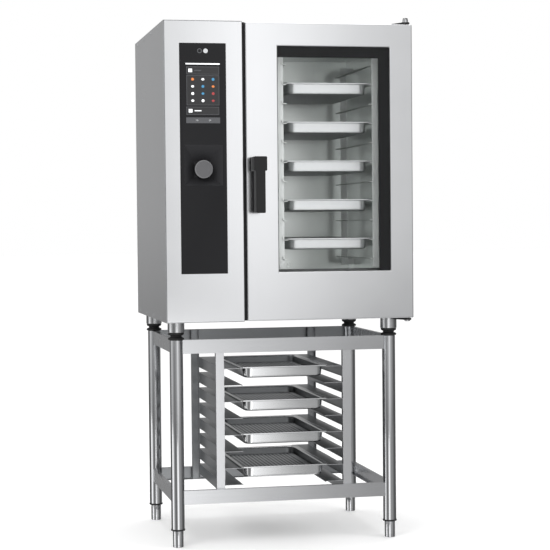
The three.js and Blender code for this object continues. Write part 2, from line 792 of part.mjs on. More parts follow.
// ---- oven feet -----------------------------------------------------------------------------
const legPlaces = [
  ["front_left", left + legInset, face + frontLegSetback],
  ["front_right", right - legInset, face + frontLegSetback],
  ["rear_left", left + legInset, face + rearLegSetback],
  ["rear_right", right - legInset, face + rearLegSetback],
];

function addOvenFeet() {
  const bottom = standHeight + touchGap;
  const top = ovenBottom - touchGap;
  const rubberTop = bottom + ovenFootRubber;
  const rubber = ovenFootRadius - 2;
  const profile = [
    [0, bottom],
    [rubber, bottom],
    [rubber, bottom + 4],
    [ovenFootWaist, bottom + ovenFootRubber * 0.5],
    [rubber, rubberTop - 3],
    [rubber, rubberTop],
    [ovenFootRadius, rubberTop],
    [ovenFootRadius, top],
    [0, top],
  ];
  for (const [where, x, y] of legPlaces) {
    place(`oven_foot_${where}`, turned(profile), "bright", [x, y, 0]);
  }
}

// ---- stand ---------------------------------------------------------------------------------
function addLegs() {
  const tube = turned([
    [0, standHeight - legWall],
    [legRadius - legWall, standHeight - legWall],
    [legRadius - legWall, footExposed],
    [legRadius, footExposed],
    [legRadius, standHeight],
    [0, standHeight],
  ]);
  const edge = 3;
  const foot = turned([
    [0, 0],
    [footRadius - edge, 0],
    [footRadius, edge],
    [footRadius, footExposed - touchGap],
    [footSpindleRadius, footExposed - touchGap],
    [footSpindleRadius, footExposed + footSpindleEntry],
    [0, footExposed + footSpindleEntry],
  ]);
  for (const [where, x, y] of legPlaces) {
    place(`stand_leg_${where}`, tube, "brushed", [x, y, 0]);
    place(`levelling_foot_${where}`, foot, "bright", [x, y, 0]);
  }
}

// A channel rail between two legs, open towards the inside of the stand.
// Its own length runs along X, and its outer face is at y = 0 with the flanges behind it.
function railGeometry(length) {
  const s = railSheet;
  const section = outline([
    [0, 0],
    [railDepth, 0],
    [railDepth, s],
    [s, s],
    [s, railHeight - s],
    [railDepth, railHeight - s],
    [railDepth, railHeight],
    [0, railHeight],
  ]);
  const geometry = new THREE.ExtrudeGeometry(section, { depth: length, bevelEnabled: false });
  // the section's first axis becomes +Y, its second +Z, and the extrusion +X
  geometry.applyMatrix4(new THREE.Matrix4().set(
    0, 0, 1, -length / 2,
    1, 0, 0, 0,
    0, 1, 0, 0,
    0, 0, 0, 1,
  ));
  return geometry;
}

function addRails() {
  const legX = ovenWidth / 2 - legInset;
  const span = rearLegSetback - frontLegSetback;
  const midY = face + (frontLegSetback + rearLegSetback) / 2;
  const sides = [
    ["front", 2 * legX, 0, [0, face + frontLegSetback - railOutset]],
    ["rear", 2 * legX, Math.PI, [0, face + rearLegSetback + railOutset]],
    ["left", span, -Math.PI / 2, [-legX - railOutset, midY]],
    ["right", span, Math.PI / 2, [legX + railOutset, midY]],
  ];
  const legCuts = legPlaces.map(([, x, y]) => rod("z", legRadius + touchGap, [x, y, 0], standHeight + 1, 40));
  for (const [level, z] of [["upper", standHeight - railHeight], ["lower", lowerRailTop - railHeight]]) {
    for (const [side, length, turn, [x, y]] of sides) {
      const rail = railGeometry(length).rotateZ(turn).translate(x, y, z);
      place(`${level}_rail_${side}`, cut(rail, ...legCuts), "brushed");
    }
  }
}

// A runner rack: two channel posts and the runners welded to their inner sides.
function addRunnerRack(name, side) {
  const at = (offset) => side * offset;
  const outer = ovenWidth / 2 - postInset;
  const frontY = face + frontLegSetback - railOutset + railDepth + touchGap;
  const rearY = face + rearLegSetback + railOutset - railDepth - touchGap;
  const s = runnerSheet;
  const top = standHeight - railSheet - touchGap;
  const pieces = [];
  for (const [y, inward] of [[frontY, 1], [rearY, -1]]) {
    const [y0, y1] = [y, y + inward * postDepth].sort((a, b) => a - b);
    const [w0, w1] = [y, y + inward * s].sort((a, b) => a - b);
    pieces.push(block(at(outer), at(outer - postWidth), w0, w1, postBottom, top));
    pieces.push(block(at(outer), at(outer - s), y0, y1, postBottom, top));
    pieces.push(block(at(outer - postWidth), at(outer - postWidth + s), y0, y1, postBottom, top));
  }
  const webX = outer - postWidth + s / 2; // half a sheet into the posts' inner flanges
  for (let level = 0; level < runnerLevels; level += 1) {
    const z = topRunner - level * runnerPitch;
    pieces.push(block(at(webX), at(runnerTipX), frontY, rearY, z - s, z));
    pieces.push(block(at(webX), at(webX - s), frontY, rearY, z - runnerWeb, z));
    pieces.push(block(at(runnerTipX), at(runnerTipX + s), frontY, rearY, z - runnerLip, z));
  }
  place(name, join(...pieces), "brushed");
}

// ---- assembly ------------------------------------------------------------------------------
addCasing();
addFascia();
addControlPanel();
addDisplay();
addKnob();
addLiner();
addGasket();
addInsulation();
addBaffle();
addFan();
addHeater();
addMotor();
addCavityRack("cavity_rack_left", -1, baffleX);
addCavityRack("cavity_rack_right", 1, chamber.x1);
addOvenPans();
addDoorShell();
addDoorInnerFrame();
addDoorGlass();
addHandle();
addLatch();
addHinges();
addVent();
addServices();
addOvenFeet();
addLegs();
addRails();
addRunnerRack("runner_rack_left", -1);
addRunnerRack("runner_rack_right", 1);
addStandPans();

export default oven;
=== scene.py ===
import math

import bmesh
import bpy
from mathutils import Matrix, Vector


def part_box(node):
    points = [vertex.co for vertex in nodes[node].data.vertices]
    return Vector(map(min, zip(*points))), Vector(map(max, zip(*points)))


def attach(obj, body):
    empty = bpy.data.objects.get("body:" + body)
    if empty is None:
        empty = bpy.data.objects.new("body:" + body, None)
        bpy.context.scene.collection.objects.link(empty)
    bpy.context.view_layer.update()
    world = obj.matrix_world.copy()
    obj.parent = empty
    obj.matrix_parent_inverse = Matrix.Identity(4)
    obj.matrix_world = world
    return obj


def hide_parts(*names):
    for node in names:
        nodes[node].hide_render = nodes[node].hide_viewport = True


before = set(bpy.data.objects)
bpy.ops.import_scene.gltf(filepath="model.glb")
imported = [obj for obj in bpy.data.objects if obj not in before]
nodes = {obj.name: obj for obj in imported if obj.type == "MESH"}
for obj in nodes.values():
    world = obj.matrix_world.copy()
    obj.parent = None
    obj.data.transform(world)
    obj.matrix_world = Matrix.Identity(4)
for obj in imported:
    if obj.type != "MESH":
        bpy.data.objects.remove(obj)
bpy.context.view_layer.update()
mm = 0.001
mainBody = "oven_and_stand"
corners = ["front_left", "front_right", "rear_left", "rear_right"]


def boxOf(name):
    low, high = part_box(name)
    return Vector(low), Vector(high)


def addNode(tree, kind, settings=None, links=None):
    node = tree.nodes.new(kind)
    for key, value in (settings or {}).items():
        if isinstance(key, int) or key in node.inputs:
            node.inputs[key].default_value = value
        else:
            setattr(node, key, value)
    for key, source in (links or {}).items():
        tree.links.new(source, node.inputs[key])
    return node


def colour(hexText, alpha=1.0):
    # sRGB hex to linear
    parts = [int(hexText[i:i + 2], 16) / 255 for i in (0, 2, 4)]
    lin = [p / 12.92 if p <= 0.04045 else ((p + 0.055) / 1.055) ** 2.4 for p in parts]
    return (*lin, alpha)


print("camera and studio")

cameraLook = {
    "place": (-1.2640, -6.0361, 1.1465),
    "turn": 11.97,   # degrees to the right of straight ahead
    "pitch": -1.72,
    "roll": -0.53,
    "lens": 108.08,
    "sensor": 36,
    "farthest": 200,
}


def addCamera(look):
    turn, pitch, roll = (math.radians(look[k]) for k in ("turn", "pitch", "roll"))
    flat = math.cos(pitch)
    ahead = Vector((math.sin(turn) * flat, math.cos(turn) * flat, math.sin(pitch)))
    level = Vector((math.cos(turn), -math.sin(turn), 0))
    above = level.cross(ahead)
    right = math.cos(roll) * level + math.sin(roll) * above
    up = math.cos(roll) * above - math.sin(roll) * level
    data = bpy.data.cameras.new("productCamera")
    data.lens = look["lens"]
    data.sensor_width = look["sensor"]
    data.clip_end = look["farthest"]
    camera = bpy.data.objects.new("productCamera", data)
    camera.matrix_world = Matrix((
        (right.x, up.x, -ahead.x, look["place"][0]),
        (right.y, up.y, -ahead.y, look["place"][1]),
        (right.z, up.z, -ahead.z, look["place"][2]),
        (0, 0, 0, 1),
    ))
    bpy.context.scene.collection.objects.link(camera)
    bpy.context.scene.camera = camera


addCamera(cameraLook)

studio = {
    "world": 1.0,
    "lights": [
        # name, place, aims at, width, height, watts
        ("keyLeft", (-2.6, -3.2, 3.4), (0, 0, 1.1), 2.2, 2.2, 60),
        ("fillRight", (3.2, -2.6, 2.4), (0, 0, 1.0), 1.8, 2.6, 30),
        ("topSoft", (0.2, 0.4, 4.2), (0, 0, 1.0), 3.0, 3.0, 40),
        ("cavityLamp", (0.17, -0.288, 1.35), (0.17, 0.3, 1.35), 0.34, 0.84, 1.25),
    ],
    # a round backdrop that only the reflections see, in two bands; its tone runs with the direction,
    # in degrees from straight ahead of the door towards +X, and with the height in m
    "backdropRadius": 3.0,
    "backdropSides": 96,
    "backdrop": [
        ("backdropHigh", 0.6, 8.0,
         ((-180, 0.40), (-164, 0.43), (-140, 0.30), (-118, 0.15), (-90, 0.9), (-72, 0.6),
          (-50, 0.25), (-24, 0.40), (-8, 0.70), (-1, 0.86), (3, 1.06), (7, 1.28), (11, 1.13),
          (16, 0.85), (20, 0.71), (26, 0.67), (34, 0.55), (50, 0.35), (75, 0.15), (100, 0.12),
          (125, 0.30), (150, 0.35), (180, 0.40)),
         ((0.6, 0.70), (0.9, 0.86), (1.2, 0.97), (1.5, 1.0), (2.3, 1.05), (4.0, 0.8))),
        ("backdropLow", -6.0, 0.6,
         ((-180, 0.34), (-164, 0.38), (-136, 0.08), (-110, 0.12), (-99, 0.8), (-90, 1.9),
          (-80, 1.5), (-66, 0.6), (-50, 0.24), (-36, 0.20), (-24, 0.36), (-14, 1.45), (-6, 2.0),
          (1, 1.34), (6, 0.98), (12, 0.68), (18, 0.43), (24, 0.40), (40, 0.42), (60, 0.25),
          (82, 0.11), (106, 0.10), (126, 0.28), (180, 0.34)),
         ((-6.0, 0.9), (-0.4, 1.0), (0.6, 1.0))),
    ],
}


def facing(place, target):
    return (Vector(target) - Vector(place)).to_track_quat("-Z", "Y").to_matrix().to_4x4()


def addStudio(look):
    scene = bpy.context.scene
    scene.view_settings.view_transform = "Standard"
    world = bpy.data.worlds.new("whiteStudio")
    world.use_nodes = True
    background = world.node_tree.nodes["Background"]
    background.inputs["Color"].default_value = (1, 1, 1, 1)
    background.inputs["Strength"].default_value = look["world"]
    scene.world = world
    for name, place, target, width, height, watts in look["lights"]:
        data = bpy.data.lights.new(name, "AREA")
        data.shape = "RECTANGLE"
        data.size, data.size_y, data.energy = width, height, watts
        lamp = bpy.data.objects.new(name, data)
        lamp.matrix_world = Matrix.Translation(place) @ facing(place, target)
        lamp.visible_camera = False
        scene.collection.objects.link(lamp)
    for band in look["backdrop"]:
        addBackdrop(look, *band)


def addBackdrop(look, name, low, high, around, rise):
    sides, radius = look["backdropSides"], look["backdropRadius"]
    turns = [2 * math.pi * i / sides for i in range(sides)]
    spots = [(radius * math.sin(t), radius * math.cos(t), z) for z in (low, high) for t in turns]
    quads = [(i, (i + 1) % sides, sides + (i + 1) % sides, sides + i) for i in range(sides)]
    mesh = bpy.data.meshes.new(name)
    mesh.from_pydata(spots, [], quads)
    mesh.materials.append(backdropPaper(name, low, high, around, rise))
    obj = bpy.data.objects.new(name, mesh)
    obj.visible_camera = obj.visible_diffuse = obj.visible_shadow = False
    obj.visible_transmission = False
    bpy.context.scene.collection.objects.link(obj)


def toneRamp(tree, along, stops):
    ramp = addNode(tree, "ShaderNodeValToRGB", links={0: along})
    elements = ramp.color_ramp.elements
    while len(elements) > 1:
        elements.remove(elements[-1])
    for i, (position, tone) in enumerate(stops):
        element = elements[0] if i == 0 else elements.new(position)
        element.position = position
        element.color = (tone, tone, tone, 1)
    return ramp.outputs[0]


def backdropPaper(name, low, high, around, rise):
    # glowing paper whose tone changes round the object and up it
    material = bpy.data.materials.new(name + "Paper")
    material.use_nodes = True
    tree = material.node_tree
    tree.nodes.clear()
    spot = addNode(tree, "ShaderNodeTexCoord")
    split = addNode(tree, "ShaderNodeSeparateXYZ", links={0: spot.outputs["Object"]})
    ahead = addNode(tree, "ShaderNodeMath", {"operation": "MULTIPLY", 1: -1.0}, {0: split.outputs["Y"]})
    turn = addNode(tree, "ShaderNodeMath", {"operation": "ARCTAN2"},
                   {0: split.outputs["X"], 1: ahead.outputs[0]})
    roundIt = addNode(tree, "ShaderNodeMapRange", {"From Min": -math.pi, "From Max": math.pi},
                      {"Value": turn.outputs[0]})
    upIt = addNode(tree, "ShaderNodeMapRange", {"From Min": low, "From Max": high},
                   {"Value": split.outputs["Z"]})
    tones = [toneRamp(tree, roundIt.outputs[0], [(d / 360 + 0.5, tone) for d, tone in around]),
             toneRamp(tree, upIt.outputs[0], [((z - low) / (high - low), tone) for z, tone in rise])]
    both = addNode(tree, "ShaderNodeVectorMath", {"operation": "MULTIPLY"}, {0: tones[0], 1: tones[1]})
    glow = addNode(tree, "ShaderNodeEmission", links={"Color": both.outputs[0]})
    addNode(tree, "ShaderNodeOutputMaterial", links={"Surface": glow.outputs[0]})
    return material


addStudio(studio)

print("materials")


def makeSurface(name, base, metallic, rough, grain, tone=0.06, roughSpread=0.05, bump=0.0,
                cloud=140, cloudTone=0.04, alpha=None, glow=None, sheen=0.0, specular=0.5):
    # grain is the pattern's size in mm along X, Y and Z, and cloud the size of its broad clouds;
    # where the real grain is too fine to show, it is drawn coarser
    material = bpy.data.materials.new(name)
    material.use_nodes = True
    tree = material.node_tree
    tree.nodes.clear()
    coord = addNode(tree, "ShaderNodeTexCoord")
    size = [1 / (g * mm) for g in grain]
    spread = addNode(tree, "ShaderNodeMapping", {"Scale": size}, {"Vector": coord.outputs["Object"]})
    fine = addNode(tree, "ShaderNodeTexNoise", {"Scale": 1.0, "Detail": 3.0, "Roughness": 0.6},
                   {"Vector": spread.outputs[0]})
    broad = addNode(tree, "ShaderNodeTexNoise", {"Scale": 1 / (cloud * mm), "Detail": 2.0},
                    {"Vector": coord.outputs["Object"]})
    fineTone = addNode(tree, "ShaderNodeMapRange", {"To Min": 1 - tone, "To Max": 1 + tone},
                       {"Value": fine.outputs[0]})
    broadTone = addNode(tree, "ShaderNodeMapRange", {"To Min": 1 - cloudTone, "To Max": 1 + cloudTone},
                        {"Value": broad.outputs[0]})
    both = addNode(tree, "ShaderNodeMath", {"operation": "MULTIPLY"},
                   {0: fineTone.outputs[0], 1: broadTone.outputs[0]})
    tint = addNode(tree, "ShaderNodeVectorMath", {"operation": "SCALE", 0: colour(base)[:3]},
                   {"Scale": both.outputs[0]})
    roughRange = {"To Min": max(0.02, rough - roughSpread), "To Max": min(1.0, rough + roughSpread)}
    roughMap = addNode(tree, "ShaderNodeMapRange", roughRange, {"Value": broad.outputs[0]})
    shader = addNode(tree, "ShaderNodeBsdfPrincipled",
                     {"Metallic": metallic, "Specular IOR Level": specular},
                     {"Base Color": tint.outputs[0], "Roughness": roughMap.outputs[0]})
    if bump:
        relief = addNode(tree, "ShaderNodeBump", {"Strength": 0.5, "Distance": bump * mm},
                         {"Height": fine.outputs[0]})
        tree.links.new(relief.outputs[0], shader.inputs["Normal"])
    if alpha is not None:
        shader.inputs["Alpha"].default_value = alpha
    if glow is not None:
        shader.inputs["Emission Color"].default_value = colour(base)
        shader.inputs["Emission Strength"].default_value = glow
    if sheen:
        shader.inputs["Sheen Weight"].default_value = sheen
    addNode(tree, "ShaderNodeOutputMaterial", links={"Surface": shader.outputs[0]})
    return material


looks = {
    # AISI 304 sheet, linished upright: soft satin with fine vertical lines
    "casing": makeSurface("stainless304LinishedUpright", "D9DADC", 1, 0.26, (2.2, 2.2, 260),
                          tone=0.035, roughSpread=0.03, bump=0.015),
    # the same sheet on the door and fascia, a finer and brighter grit
    "front": makeSurface("stainless304FineLinished", "E6E7E9", 1, 0.19, (2.0, 2.0, 340),
                         tone=0.02, roughSpread=0.02, bump=0.008),
    # channel rails linished along their length, so the lines run across the stand
    "railAcross": makeSurface("stainless304LinishedAlongX", "CFD0D2", 1, 0.22, (260, 2.0, 2.0),
                              tone=0.05, roughSpread=0.03, bump=0.015),
    # the side rails, linished the same way but towards the rear, a little duller
    "railDeep": makeSurface("stainless304LinishedAlongY", "D0D1D3", 1, 0.27, (2.0, 300, 2.0),
                            tone=0.04, roughSpread=0.03, bump=0.015),
    # drawn and polished round tube: sharp upright bands of reflection
    "tube": makeSurface("stainless304PolishedTube", "CACBCD", 1, 0.14, (1.6, 1.6, 300),
                        tone=0.04, roughSpread=0.03, bump=0.01),
    # sheet of the runners, mill finish, duller than the rest; its dark base is also painted shade where
    # it stands on the rear rails and on the racks' rear and side faces
    "runnerMillAndShade": makeSurface("stainless430MillFinishAndShade", "9C9EA0", 1, 0.30, (3, 160, 3),
                          tone=0.08, roughSpread=0.05, bump=0.02),
    # bright annealed cavity sheet, with heat haze in broad clouds
    "cavity": makeSurface("stainless304BrightAnnealed", "D8DCDA", 1, 0.30, (9, 9, 320),
                          tone=0.06, roughSpread=0.06, bump=0.02, cloud=180, cloudTone=0.07),
    # deep drawn gastronorm pan: bright and softly rippled
    "pan": makeSurface("stainless304DeepDrawn", "E6E7E8", 1, 0.17, (30, 30, 14),
                       tone=0.03, roughSpread=0.04, bump=0.03),
    # the same pan in the cavity, hazed all over, its base darkened as painted shade for the dim cavity
    "panCavityShaded": makeSurface("stainless304DrawnSatinShaded", "BEC0C1", 1, 0.42, (24, 24, 12),
                           tone=0.03, roughSpread=0.04, bump=0.03),
    # turned steel feet, studs and nuts: bright, with fine rings round the axis
    "turned": makeSurface("stainlessTurned", "D5D6D8", 1, 0.18, (40, 40, 0.9),
                          tone=0.05, roughSpread=0.03, bump=0.01),
    # cold drawn rod of the fan wheel, smooth with faint drawing lines
    "rod": makeSurface("stainlessColdDrawnRod", "C9CBCC", 1, 0.22, (6, 60, 6),
                       tone=0.04, roughSpread=0.04, bump=0.01),
    # heater tube in nickel alloy, darkened by heat
    "heater": makeSurface("nickelAlloyHeatDarkened", "5E5A56", 1, 0.45, (8, 8, 8),
                          tone=0.15, roughSpread=0.08, bump=0.05),
    # cast aluminium motor housing, grey paint over sand texture
    "motor": makeSurface("castAluminiumPainted", "6C7074", 0, 0.5, (1.5, 1.5, 1.5),
                         tone=0.08, roughSpread=0.06, bump=0.2),
    # back-painted glass of the control column: near black and glossy
    "panel": makeSurface("backPaintedGlass", "18181A", 0, 0.2, (30, 30, 30),
                         tone=0.03, roughSpread=0.02, bump=0.0, cloud=200, cloudTone=0.05,
                         specular=0.2),
    # ABS moulding of the knob's bay, spark eroded: matte, with a fine grain
    "bay": makeSurface("absSparkEroded", "2C2C2E", 0, 0.5, (1.2, 1.2, 1.2),
                       tone=0.05, roughSpread=0.05, bump=0.05, specular=0.12),
    # glass filled nylon handle, fine matte grain
    "handle": makeSurface("glassFilledNylonMoulded", "161617", 0, 0.36, (1.1, 1.1, 1.1),
                          tone=0.08, roughSpread=0.05, bump=0.06, specular=0.3),
    # powder coated steel hinge plates, with a slight orange peel
    "hinge": makeSurface("steelPowderCoatBlack", "1C1C1D", 0, 0.4, (1.4, 1.4, 1.4),
                         tone=0.08, roughSpread=0.05, bump=0.08),
    # lacquered knob cap, a flat mid grey
    "knob": makeSurface("satinLacqueredCap", "58585A", 0, 0.42, (0.9, 20, 20),
                        tone=0.05, roughSpread=0.04, bump=0.02, specular=0.3),
    # its turned edge, a little glossier and painted a lighter grey as a highlight where it catches the
    # light
    "knobEdgeHighlight": makeSurface("satinLacqueredEdgePaintedHighlight", "707072", 0, 0.3, (4, 0.8, 4),
                            tone=0.05, roughSpread=0.03, bump=0.01, specular=0.4),
    # silicone door seal, dusty matte
    "seal": makeSurface("siliconeExtruded", "111112", 0, 0.6, (3, 3, 40),
                        tone=0.1, roughSpread=0.08, bump=0.04, specular=0.25),
    # moulded EPDM pads and rings, matte and slightly chalky
    "rubber": makeSurface("epdmMoulded", "19191A", 0, 0.62, (2, 2, 2),
                          tone=0.12, roughSpread=0.08, bump=0.06),
    # mineral wool slab: coarse tangled fibre
    "wool": makeSurface("mineralWoolSlab", "C9BE86", 0, 0.95, (4, 4, 30),
                        tone=0.25, roughSpread=0.03, bump=0.8, cloud=60, cloudTone=0.1, sheen=0.3),
    # circuit board under green solder mask
    "board": makeSurface("glassEpoxyBoard", "27503A", 0, 0.4, (6, 6, 2),
                         tone=0.2, roughSpread=0.05, bump=0.1),
    # float glass, clear with a faint haze
    "glass": makeSurface("floatGlassClear", "1C201F", 0, 0.04, (60, 60, 200),
                         tone=0.03, roughSpread=0.015, bump=0.0, cloud=220, cloudTone=0.04,
                         alpha=0.07),
    # black ceramic frit printed on the pane, flat and opaque
    "frit": makeSurface("ceramicFritBlack", "141416", 0, 0.4, (2, 2, 2),
                        tone=0.06, roughSpread=0.04, bump=0.0, specular=0.2),
    # lit marks of the screen, each a thin film that glows a little
    "markWhite": makeSurface("screenWhite", "E8EAEC", 0, 0.4, (3, 3, 3),
                             tone=0.04, roughSpread=0.04, glow=0.55),
    "markPale": makeSurface("screenPale", "B4B6B8", 0, 0.4, (3, 3, 3),
                            tone=0.04, roughSpread=0.04, glow=0.2),
    "markGrey": makeSurface("screenGrey", "4C4D50", 0, 0.35, (20, 20, 3),
                            tone=0.05, roughSpread=0.04, glow=0.06),
    "markCard": makeSurface("screenCharcoal", "242426", 0, 0.35, (20, 20, 6),
                            tone=0.06, roughSpread=0.04, glow=0.03),
    "markOrange": makeSurface("screenOrange", "C9743A", 0, 0.4, (3, 3, 3),
                              tone=0.05, roughSpread=0.04, glow=0.3),
    "markBlue": makeSurface("screenBlue", "3C7FA6", 0, 0.4, (3, 3, 3),
                            tone=0.05, roughSpread=0.04, glow=0.3),
    "markRed": makeSurface("screenRed", "963436", 0, 0.4, (3, 3, 3),
                           tone=0.05, roughSpread=0.04, glow=0.3),
    # seamless studio vinyl, matte and almost white
    "floor": makeSurface("paleStudioVinyl", "F4F4F4", 0, 0.8, (400, 400, 400),
                         tone=0.004, roughSpread=0.02, cloudTone=0.0, glow=0.16),
    # the pan's inside, satin from the press, with a faint mark of the tool; its darker base is painted
    # shade inside the pan
    "panInsideShaded": makeSurface("stainless304PressedInsideShaded", "8F9193", 1, 0.34, (16, 16, 16),
                             tone=0.10, roughSpread=0.05, bump=0.05),
    # cavity rack sheet after many steam cycles, evenly satin
    "rackSheet": makeSurface("stainless304Electropolished", "D2D5D4", 1, 0.55, (6, 6, 60),
                             tone=0.06, roughSpread=0.05, bump=0.02),
    # punched plate that keeps food off the pan's bottom, evenly grey
    "drain": makeSurface("stainless304PunchedPlate", "DADCDE", 1, 0.42, (14, 14, 14),
                         tone=0.08, roughSpread=0.05, bump=0.03),
    # the shade seen through a punched hole
    "punched": makeSurface("shadowedPunchedHole", "48494C", 0, 0.7, (4, 4, 4),
                           tone=0.1, roughSpread=0.05, specular=0.1),
    # anodised bar between the panes, dull grey; the door's inner frame takes it too, as painted shade
    "spacerAndFrameShade": makeSurface("anodisedSpacerBarAndFrameShade", "8A8C8C", 1, 0.5, (6, 6, 80),
                          tone=0.06, roughSpread=0.05, bump=0.02),
}


def addFloor(reach):
    mesh = bpy.data.meshes.new("studioFloor")
    spots = [(-reach, -reach, 0), (reach, -reach, 0), (reach, reach, 0), (-reach, reach, 0)]
    mesh.from_pydata(spots, [], [(0, 1, 2, 3)])
    mesh.materials.append(looks["floor"])
    floor = bpy.data.objects.new("studioFloor", mesh)
    floor.visible_glossy = False
    bpy.context.scene.collection.objects.link(floor)


addFloor(60)


def settle(name, bm, look, body, stands=(), bevel=0.0, segments=2, sheet=0.0, angle=32,
           slot=None):
    # turns a bmesh into a finished piece that rides on its body; bevel and sheet are in mm
    bmesh.ops.remove_doubles(bm, verts=bm.verts, dist=1e-6)
    bmesh.ops.recalc_face_normals(bm, faces=bm.faces)
    mesh = bpy.data.meshes.new(name)
    bm.to_mesh(mesh)
    bm.free()
    mesh.polygons.foreach_set("use_smooth", [True] * len(mesh.polygons))
    mesh.set_sharp_from_angle(angle=math.radians(angle))
    mesh.materials.append(looks[look])
    obj = bpy.data.objects.new(name, mesh)
    bpy.context.scene.collection.objects.link(obj)
    if bevel:
        edge = obj.modifiers.new("edge", "BEVEL")
        edge.width = bevel * mm
        edge.segments = segments
        edge.limit_method = "ANGLE"
        edge.angle_limit = math.radians(angle)
        edge.harden_normals = True
    if sheet:
        wall = obj.modifiers.new("sheet", "SOLIDIFY")
        wall.thickness = sheet * mm
        wall.offset = -1
    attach(obj, body)
    if stands:
        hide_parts(*stands)
    return obj


def cadCopy(name):
    # the node's own solid, welded and with its flat faces made whole again
    bm = bmesh.new()
    bm.from_mesh(nodes[name].data)
    bmesh.ops.remove_doubles(bm, verts=bm.verts, dist=2e-6)
    bmesh.ops.dissolve_limit(bm, angle_limit=math.radians(0.5), verts=bm.verts, edges=bm.edges)
    return bm


def refine(name, look, body=mainBody, bevel=0.5, segments=2, angle=32):
    return settle(name + "_finish", cadCopy(name), look, body, [name], bevel, segments, angle=angle)


def boxPiece(name, low, high, look, body, bevel=0.3, **more):
    bm = bmesh.new()
    low, high = Vector(low), Vector(high)
    for vert in bmesh.ops.create_cube(bm, size=1)["verts"]:
        vert.co = Vector([(low[i] + high[i]) / 2 + vert.co[i] * (high[i] - low[i]) for i in range(3)])
    return settle(name, bm, look, body, bevel=bevel, **more)


def joinLoops(bm, a, b, finish=0):
    # a band of quads between two loops that have the same number of points
    for i in range(len(a)):
        j = (i + 1) % len(a)
        bm.faces.new((a[i], a[j], b[j], b[i])).material_index = finish


def addTurned(bm, profile, centre, axis, sides, ring):
    # profile is (radius, height) pairs in mm; a radius of 0 closes an end, and the profile of a
    # ring stays off the axis and comes back to its start
    turn = {"Z": Matrix(), "Y": Matrix.Rotation(-math.pi / 2, 4, "X")}
    place = Matrix.Translation(centre) @ turn[axis]
    loops = []
    for radius, height in profile:
        loop = []
        for i in range(1 if radius == 0 else sides):
            t = 2 * math.pi * i / sides
            spot = Vector((radius * mm * math.cos(t), radius * mm * math.sin(t), height * mm))
            loop.append(bm.verts.new(place @ spot))
        loops.append(loop)
    if ring:
        for a, b in zip(loops, loops[1:] + loops[:1]):
            joinLoops(bm, a, b)
        return
    for a, b in zip(loops, loops[1:]):
        for i in range(sides):
            j = (i + 1) % sides
            quad = [a[i % len(a)], a[j % len(a)], b[j % len(b)], b[i % len(b)]]
            unique = list(dict.fromkeys(quad))
            if len(unique) > 2:
                bm.faces.new(unique)
    for end in (loops[0], loops[-1]):
        if len(end) > 1:
            bm.faces.new(end)


def turnedPiece(name, profile, centre, look, body, axis="Z", sides=48, ring=False, **more):
    bm = bmesh.new()
    addTurned(bm, profile, centre, axis, sides, ring)
    return settle(name, bm, look, body, **more)


def gridTree(shape):
    # a grid of one small shape: dome for screw heads, slat for louvres and tabs, disc for holes
    tree = bpy.data.node_groups.new(shape + "Grid", "GeometryNodeTree")
    sockets = {"Columns": "Int", "Rows": "Int", "Column Pitch": "Float", "Row Pitch": "Float",
               "Size": "Vector", "Tilt": "Vector", "Finish": "Material"}
    ids = {}
    for label, kind in sockets.items():
        socket = tree.interface.new_socket(label, in_out="INPUT", socket_type="NodeSocket" + kind)
        ids[label] = socket.identifier
    tree.interface.new_socket("Geometry", in_out="OUTPUT", socket_type="NodeSocketGeometry")
    given = addNode(tree, "NodeGroupInput").outputs
    spans = []
    for count, pitch in (("Columns", "Column Pitch"), ("Rows", "Row Pitch")):
        less = addNode(tree, "ShaderNodeMath", {"operation": "SUBTRACT", 1: 1.0}, {0: given[count]})
        spans.append(addNode(tree, "ShaderNodeMath", {"operation": "MULTIPLY"},
                             {0: less.outputs[0], 1: given[pitch]}).outputs[0])
    grid = addNode(tree, "GeometryNodeMeshGrid", links={
        "Size X": spans[0], "Size Y": spans[1],
        "Vertices X": given["Columns"], "Vertices Y": given["Rows"]})
    points = addNode(tree, "GeometryNodeMeshToPoints", links={"Mesh": grid.outputs[0]})
    if shape == "dome":
        item = addNode(tree, "GeometryNodeMeshUVSphere", {"Segments": 14, "Rings": 7, "Radius": 0.5})
    elif shape == "disc":
        item = addNode(tree, "GeometryNodeMeshCylinder", {"Vertices": 10, "Radius": 0.5, "Depth": 1.0})
    else:
        item = addNode(tree, "GeometryNodeMeshCube", {"Size": (1, 1, 1)})
    placed = addNode(tree, "GeometryNodeInstanceOnPoints", links={
        "Points": points.outputs[0], "Instance": item.outputs[0], "Scale": given["Size"],
        "Rotation": given["Tilt"]})
    real = addNode(tree, "GeometryNodeRealizeInstances", links={0: placed.outputs[0]})
    smooth = addNode(tree, "GeometryNodeSetShadeSmooth", {"Shade Smooth": shape == "dome"},
                     {"Geometry": real.outputs[0]})
    dressed = addNode(tree, "GeometryNodeSetMaterial", links={"Geometry": smooth.outputs[0],
                                                              "Material": given["Finish"]})
    addNode(tree, "NodeGroupOutput", links={0: dressed.outputs[0]})
    return tree, ids


trees = {shape: gridTree(shape) for shape in ("dome", "slat", "disc")}


def repeat(name, shape, counts, pitches, size, place, look, body, tilt=(0, 0, 0)):
    # counts across and up, pitches and size in mm; place puts the grid's plane in the object
    tree, ids = trees[shape]
    carrier = bpy.data.objects.new(name + "Maker", bpy.data.meshes.new(name + "Maker"))
    bpy.context.scene.collection.objects.link(carrier)
    modifier = carrier.modifiers.new("grid", "NODES")
    modifier.node_group = tree
    values = {
        "Columns": counts[0], "Rows": counts[1],
        "Column Pitch": pitches[0] * mm, "Row Pitch": pitches[1] * mm,
        "Size": [s * mm for s in size], "Tilt": tilt, "Finish": looks[look],
    }
    for label, value in values.items():
        modifier[ids[label]] = value
    graph = bpy.context.evaluated_depsgraph_get()
    mesh = bpy.data.meshes.new_from_object(carrier.evaluated_get(graph))
    bpy.data.objects.remove(carrier)
    mesh.transform(place)
    mesh.name = name
    obj = bpy.data.objects.new(name, mesh)
    bpy.context.scene.collection.objects.link(obj)
    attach(obj, body)
    return obj


